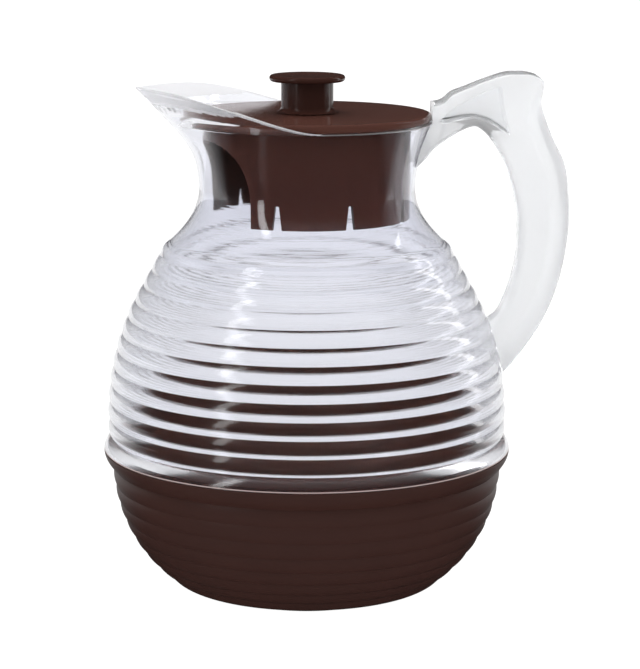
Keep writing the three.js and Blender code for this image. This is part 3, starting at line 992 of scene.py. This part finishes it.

# %% [markdown]
# The clear plastic is a hard, glassy one that bends light more than glass does. It has a faint lilac tint,
# fine lines round the ribs from the mould, and a surface that is a little wavy. Between the upper ribs and
# the rim the tint is painted deeper, as painted shade. The ribs are a touch less smooth than the neck,
# which softens what they show. The handle has no lines. It is satin, so a part of the light goes through it
# and the rest is scattered.

# %% The clear plastic
CLEAR_IOR = 1.57
SHELL_TINT = (0.935, 0.942, 0.98, 1)
# The deeper tints are painted shade, for the band from the upper ribs to below the rim.
SHELL_TINT_PAINTED_SHADE = (0.86, 0.87, 0.93, 1)
HANDLE_TINT = (0.97, 0.977, 0.99, 1)
HANDLE_TINT_PAINTED_SHADE = (0.95, 0.957, 0.97, 1)
# Heights of the band with the painted shade, in metres; the first two also mark where the ribs give way to
# the smoother neck.
UPPER_BAND_FROM = 0.118
UPPER_BAND_FULL = 0.142
UPPER_BAND_UNTIL = 0.165
UPPER_BAND_END = 0.178
CLOUD_SCALE = 40.0
CLOUD_SHARE = 0.15
CLOUD_GLOSS = 0.03
WAVE_SCALE = 55.0
LINE_SCALE = 25.0
LINE_SQUEEZE = 50
SMOOTH_SHARE = 0.3
WAVE_STRENGTH = 0.3
BUMP_DEPTH = 0.0001


def clear_plastic(name, tint, painted_shade_tint, clearness, roughness, line_depth):
    """A material that bends light, with a second, deeper tint that is painted shade in a band of heights.
    """
    finish = Finish(bpy.data.materials.new(name))
    cloud = finish.noise(CLOUD_SCALE)
    wave = finish.noise(WAVE_SCALE)
    line = finish.noise(LINE_SCALE, stretch=(1, 1, LINE_SQUEEZE))
    place = finish.add("ShaderNodeTexCoord", {}, {}, "Object")
    height = finish.add("ShaderNodeSeparateXYZ", {}, {"Vector": place}, "Z")
    # Between these heights the tint is painted deeper: painted shade.
    painted_shade_band = finish.ramp(height, UPPER_BAND_FROM, UPPER_BAND_FULL, 0.0, 1.0)
    painted_shade_band = painted_shade_band * finish.ramp(height, UPPER_BAND_UNTIL, UPPER_BAND_END, 1.0, 0.0)
    mix = {"Factor": painted_shade_band * (1 - CLOUD_SHARE) + cloud * CLOUD_SHARE, "A": tint, "B": painted_shade_tint}
    colour = finish.add("ShaderNodeMix", {"data_type": "RGBA"}, mix, 2)
    ribbed = finish.ramp(height, UPPER_BAND_FROM, UPPER_BAND_FULL, roughness, roughness * SMOOTH_SHARE)
    relief = {"Height": wave + line * line_depth, "Strength": WAVE_STRENGTH, "Distance": BUMP_DEPTH}
    bump = finish.add("ShaderNodeBump", {}, relief)
    finish.shader({
        "Base Color": colour,
        "Roughness": cloud * CLOUD_GLOSS + ribbed,
        "IOR": CLEAR_IOR,
        "Transmission Weight": clearness,
        "Normal": bump,
    })
    return finish.owner


shell_finish = clear_plastic(
    "clear plastic of the shell",
    SHELL_TINT,
    SHELL_TINT_PAINTED_SHADE,
    clearness=1.0,
    roughness=0.09,
    line_depth=0.6,
)
handle_finish = clear_plastic(
    "clear plastic of the handle",
    HANDLE_TINT,
    HANDLE_TINT_PAINTED_SHADE,
    clearness=0.5,
    roughness=0.22,
    line_depth=0.0,
)
for piece, finish in ((clear_shell, shell_finish), (handle, handle_finish)):
    piece.data.materials.clear()
    piece.data.materials.append(finish)
print("Clear finishes:", shell_finish.name, "and", handle_finish.name)

# %% [markdown]
# Where the shell meets the bowl, its lowest outer edge gets a dull, light pinkish finish: a painted
# highlight for the line of light along the seam. The rim's edge and the bevel inside the spout get a milky,
# satin finish: a painted highlight for the bright line there. A strip or a ring of its own for each would
# be one more piece that the real carafe doesn't have, so the faces that are already there get a finish of
# their own.

# %% The painted highlights on the seam and the lip
# The seam's light pinkish colour is a painted highlight along the shell's lowest outer edge.
SEAM_HIGHLIGHT_COLOUR = (0.5, 0.4, 0.38, 1)
SEAM_HIGHLIGHT_WIDTH = 0.35
SEAM_HIGHLIGHT_NOISE = 400.0
SEAM_HIGHLIGHT_GLOSS = 0.4
SEAM_HIGHLIGHT_GLOSS_CHANGE = 0.2
# The lip's milky white is a painted highlight on the rim's edge and on the bevel inside the spout.
LIP_HIGHLIGHT_WHITE = (0.91, 0.91, 0.93, 1)
LIP_HIGHLIGHT_CLEARNESS = 0.55
LIP_HIGHLIGHT_LINE = 0.4
LIP_HIGHLIGHT_NOISE = 300.0
LIP_HIGHLIGHT_GLOSS = 0.35
LIP_HIGHLIGHT_GLOSS_CHANGE = 0.1
SEAM_HIGHLIGHT_SLOT = 1
LIP_HIGHLIGHT_SLOT = 2

seam_highlight = Finish(bpy.data.materials.new("painted highlight on the seam"))
seam_highlight.shader({
    "Base Color": SEAM_HIGHLIGHT_COLOUR,
    "Roughness": seam_highlight.noise(SEAM_HIGHLIGHT_NOISE) * SEAM_HIGHLIGHT_GLOSS_CHANGE + SEAM_HIGHLIGHT_GLOSS,
})
lip_highlight = Finish(bpy.data.materials.new("painted highlight on the lip"))
lip_highlight.shader({
    "Base Color": LIP_HIGHLIGHT_WHITE,
    "Roughness": lip_highlight.noise(LIP_HIGHLIGHT_NOISE) * LIP_HIGHLIGHT_GLOSS_CHANGE + LIP_HIGHLIGHT_GLOSS,
    "Transmission Weight": LIP_HIGHLIGHT_CLEARNESS,
})
for finish in (seam_highlight, lip_highlight):
    clear_shell.data.materials.append(finish.owner)
# The faces that carry the painted highlights: the shell's lowest outer edge, the rim's edge and the spout's
# inner bevel.
for face in clear_shell.data.polygons:
    height = face.center.z / MM
    radius = face.center.xy.length / MM
    if height < seam_top + SEAM_HIGHLIGHT_WIDTH and radius > SEAM_RADIUS - SEAM_HIGHLIGHT_WIDTH:
        face.material_index = SEAM_HIGHLIGHT_SLOT
    if height > SEAT_HEIGHT:
        angle = math.degrees(abs(math.atan2(face.center.y, -face.center.x)))
        below_lip = flare_outside(angle, 1)[1] - height
        inner_side = face.normal.xy.dot(face.center.xy) < 0
        if below_lip < LIP_HIGHLIGHT_LINE or inner_side and below_lip < lip_bevel(angle):
            face.material_index = LIP_HIGHLIGHT_SLOT
for slot in (SEAM_HIGHLIGHT_SLOT, LIP_HIGHLIGHT_SLOT):
    faces = [face for face in clear_shell.data.polygons if face.material_index == slot]
    print(clear_shell.data.materials[slot].name, "has", len(faces), "faces")

# %% [markdown]
# The brown plastic is solid and dark. The bowl is satin, with soft light on each rib, and the lid and
# knob are polished enough to mirror each other. The lid's brown is lighter than the bowl's and the knob's:
# that is painted light, for the light from above on the disc. The sides of the bowl and the lid that face
# inwards are seen through the clear shell, and they have a brown between the bowl's and the lid's: that is
# painted light too, for the light that the clear shell holds back. All vary a little in colour and gloss,
# and have a very fine grain.

# %% The brown plastic
BOWL_BROWN = (0.054, 0.021, 0.0162, 1)
BOWL_BROWN_DEEP = (0.047, 0.018, 0.014, 1)
# The lid's brown is painted light: lighter than the bowl's and the knob's, for the light from above on the
# disc.
LID_PAINTED_LIGHT_BROWN = (0.086, 0.035, 0.0265, 1)
LID_PAINTED_LIGHT_BROWN_DEEP = (0.078, 0.0315, 0.0235, 1)
KNOB_BROWN = (0.052, 0.021, 0.0162, 1)
KNOB_BROWN_DEEP = (0.046, 0.0185, 0.014, 1)
# The inward sides' brown is painted light: lighter than the bowl's, for the light that the clear shell
# holds back.
INSIDE_PAINTED_LIGHT_BROWN = (0.072, 0.03, 0.021, 1)
INSIDE_PAINTED_LIGHT_BROWN_DEEP = (0.064, 0.0265, 0.0185, 1)
BROWN_CLOUD_SCALE = 60.0
BROWN_CLOUD_GLOSS = 0.08
GRAIN_SCALE = 1800.0
BROWN_SHINE = 0.2
INSIDE_PAINTED_LIGHT_SLOT = 1


def brown_plastic(name, colour_light, colour_deep, gloss, grain):
    """A material that reflects, with two browns in soft clouds."""
    finish = Finish(bpy.data.materials.new(name))
    cloud = finish.noise(BROWN_CLOUD_SCALE)
    fine = finish.noise(GRAIN_SCALE)
    mix = {"Factor": cloud, "A": colour_light, "B": colour_deep}
    colour = finish.add("ShaderNodeMix", {"data_type": "RGBA"}, mix, 2)
    relief = {"Height": fine, "Strength": grain, "Distance": BUMP_DEPTH}
    bump = finish.add("ShaderNodeBump", {}, relief)
    finish.shader({
        "Base Color": colour,
        "Roughness": cloud * BROWN_CLOUD_GLOSS + gloss,
        "Specular IOR Level": BROWN_SHINE,
        "Normal": bump,
    })
    return finish.owner


bowl_finish = brown_plastic("satin brown plastic", BOWL_BROWN, BOWL_BROWN_DEEP, gloss=0.36, grain=0.25)
# The lid's finish carries the brown that is painted lighter, as painted light.
lid_painted_light_finish = brown_plastic("polished brown plastic", LID_PAINTED_LIGHT_BROWN, LID_PAINTED_LIGHT_BROWN_DEEP, gloss=0.12, grain=0.05)
inside_painted_light_finish = brown_plastic(
    "brown plastic of the inward sides, painted lighter", INSIDE_PAINTED_LIGHT_BROWN, INSIDE_PAINTED_LIGHT_BROWN_DEEP, gloss=0.3, grain=0.1
)
knob_finish = brown_plastic(
    "polished brown plastic of the knob", KNOB_BROWN, KNOB_BROWN_DEEP, gloss=0.12, grain=0.05
)
for piece, finish in ((bowl, bowl_finish), (lid, lid_painted_light_finish), (knob, knob_finish)):
    piece.data.materials.clear()
    piece.data.materials.append(finish)
# The inward faces of the bowl and the lid get the brown that is painted lighter, as painted light.
for piece in (bowl, lid):
    piece.data.materials.append(inside_painted_light_finish)
    for face in piece.data.polygons:
        inwards = face.normal.xy.dot(face.center.xy) < 0
        underneath = face.center.z < EDGE_ROUND * MM
        if inwards and not underneath:
            face.material_index = INSIDE_PAINTED_LIGHT_SLOT
print("Brown finishes:", bowl_finish.name, "and", lid_painted_light_finish.name)

# %% [markdown]
# The room is a studio with a white paper sweep. Rays that show the room straight, or only bent by clear
# plastic, find plain white. Rays that were mirrored inside the clear plastic find the sweep white behind
# the carafe and above it, and dark on the camera's side. Rays that a surface throws straight back find it
# nearly dark all round, so that no grey haze lies over the brown pieces. The light on the pieces comes
# from all round, with more of it from above and behind, and light that comes through the clear plastic is
# made stronger, because the plastic holds a part of it back.

# %% Kinds of rays


def ray(finish, kind):
    """1 for one kind of ray and 0 for all others, or the number of bounces of one kind."""
    return finish.add("ShaderNodeLightPath", {}, {}, kind)


def at_most_one(finish, wire):
    """The wire's value, but no more than 1."""
    return finish.add("ShaderNodeMath", {"operation": "MINIMUM"}, {0: wire, 1: 1.0})


def seen_straight(finish):
    """1 for the rays that show a surface to the camera, straight or bent by clear plastic."""
    bounced = at_most_one(finish, ray(finish, "Glossy Depth") + ray(finish, "Diffuse Depth"))
    bent = ray(finish, "Is Transmission Ray") * (1 - bounced)
    return at_most_one(finish, ray(finish, "Is Camera Ray") + bent)


def seen_mirrored(finish, straight):
    """1 for the rays that show a surface to the camera after a glossy surface threw them back."""
    scattered = at_most_one(finish, ray(finish, "Diffuse Depth"))
    return ray(finish, "Is Glossy Ray") * (1 - straight) * (1 - scattered)


# %% The room's light
WORLD_LIGHT = 0.48
CEILING_LIGHT = 1.2
BACK_LIGHT = 1.2
INSIDE_GAIN = 2.7
SIDE_DIM = 0.012
BEYOND_PLASTIC = 0.94
SWEEP_THROUGH = 0.97
SWEEP_MIRRORED = 0.015
CEILING_THROUGH = 0.85
CEILING_MIRRORED = 0.06
BEHIND_START = -0.1
BEHIND_END = 0.25
BACK_START = 0.2
BACK_END = 0.6
CEILING_START = 0.4
CEILING_END = 0.85
SWEEP_START = 0.02
SWEEP_END = 0.2

world = bpy.data.worlds.new("white room")
bpy.context.scene.world = world
room_light = Finish(world)
background = room_light.tree.nodes["Background"]
background.inputs["Color"].default_value = (1, 1, 1, 1)
way = room_light.add("ShaderNodeTexCoord", {}, {}, "Generated")
depth = room_light.add("ShaderNodeSeparateXYZ", {}, {"Vector": way}, "Y")
height = room_light.add("ShaderNodeSeparateXYZ", {}, {"Vector": way}, "Z")
through = ray(room_light, "Is Transmission Ray")
sweep = through * (SWEEP_THROUGH - SWEEP_MIRRORED) + SWEEP_MIRRORED
behind = room_light.ramp(depth, BEHIND_START, BEHIND_END, 0.0, 1.0)
ceiling = room_light.ramp(height, CEILING_START, CEILING_END, 0.0, 1.0)
around = behind * (sweep - SIDE_DIM) + SIDE_DIM
above = through * (CEILING_THROUGH - CEILING_MIRRORED) + CEILING_MIRRORED
thrown_back = around + ceiling * (above - around)
straight = seen_straight(room_light)
mirrored = seen_mirrored(room_light, straight)
inside_gain = through * INSIDE_GAIN + 1
back_light = room_light.ramp(depth, BACK_START, BACK_END, 0.0, BACK_LIGHT)
plain_light = ceiling * CEILING_LIGHT + back_light + WORLD_LIGHT
plain_light = (1 - straight - mirrored) * plain_light * inside_gain
shown = straight * (1 - through * (1 - BEYOND_PLASTIC))
room_light.put(background.inputs["Strength"], shown + mirrored * thrown_back + plain_light)
print("The room's light has", len(room_light.tree.nodes), "nodes")

# %% The floor
FLOOR_SIZE = 12.0
FLOOR_WHITE = (0.85, 0.85, 0.86, 1)
FLOOR_GLOW_SHARE = 0.88
FLOOR_GLOW = 1.15
FLOOR_BOUNCE = 0.5

select_only()
bpy.ops.mesh.primitive_plane_add(size=FLOOR_SIZE)
floor = bpy.context.object
floor.name = "floor"
paper = Finish(bpy.data.materials.new("white paper"))
paper.shader({"Base Color": FLOOR_WHITE, "Roughness": 0.9, "Specular IOR Level": 0.1})
through = ray(paper, "Is Transmission Ray")
glow_strength = (1 - through * (1 - BEYOND_PLASTIC)) * FLOOR_GLOW
glow = paper.add("ShaderNodeEmission", {}, {"Strength": glow_strength})
plain = Wire(paper, paper.tree.nodes["Principled BSDF"].outputs[0])
place = paper.add("ShaderNodeTexCoord", {}, {}, "Object")
depth = paper.add("ShaderNodeSeparateXYZ", {}, {"Vector": place}, "Y")
straight = seen_straight(paper)
mirrored = seen_mirrored(paper, straight)
bounce = (1 - straight - mirrored) * FLOOR_BOUNCE
shown = paper.add("ShaderNodeMixShader", {}, {0: straight * FLOOR_GLOW_SHARE + bounce, 1: plain, 2: glow})
sweep_strength = paper.ramp(depth, SWEEP_START, SWEEP_END, SIDE_DIM, 1.0)
sweep = paper.add("ShaderNodeEmission", {}, {"Strength": sweep_strength})
mixed = paper.add("ShaderNodeMixShader", {}, {0: mirrored, 1: shown, 2: sweep})
paper.put(paper.tree.nodes["Material Output"].inputs["Surface"], mixed)
floor.data.materials.append(paper.owner)
print("Floor:", FLOOR_SIZE, "m wide")

# %% [markdown]
# Two narrow softboxes stand on the floor, one at the left front and one at the right and behind. Their
# reflections are the bright streaks that run down the neck and the shoulder. They add nothing to the
# colours, which have enough light from the room, so they are hidden from the rays that gather plain
# light.

# %% The lamps
LAMP_AIM = Vector((0, 0, 0.15))


def soft_lamp(name, azimuth, distance, middle, width, height, power):
    """A rectangular lamp that looks at the carafe. Azimuth 0 is the camera's side."""
    turn = math.radians(azimuth)
    place = Vector((math.sin(turn) * distance, -math.cos(turn) * distance, middle))
    way = place - LAMP_AIM
    bpy.ops.object.light_add(type="AREA")
    lamp = bpy.context.object
    lamp.name = name
    lamp.data.shape = "RECTANGLE"
    lamp.data.size = width
    lamp.data.size_y = height
    lamp.data.energy = power
    lamp.visible_diffuse = False
    lamp.matrix_world = Matrix.Translation(place) @ way.to_track_quat("Z", "Y").to_matrix().to_4x4()
    print(name, "at", [round(v, 2) for v in place], "m")


select_only()
soft_lamp("left softbox", azimuth=-48.6, distance=1.1, middle=0.62, width=0.15, height=1.2, power=2.0)
soft_lamp("right softbox", azimuth=114, distance=1.1, middle=0.55, width=0.15, height=1.0, power=1.6)
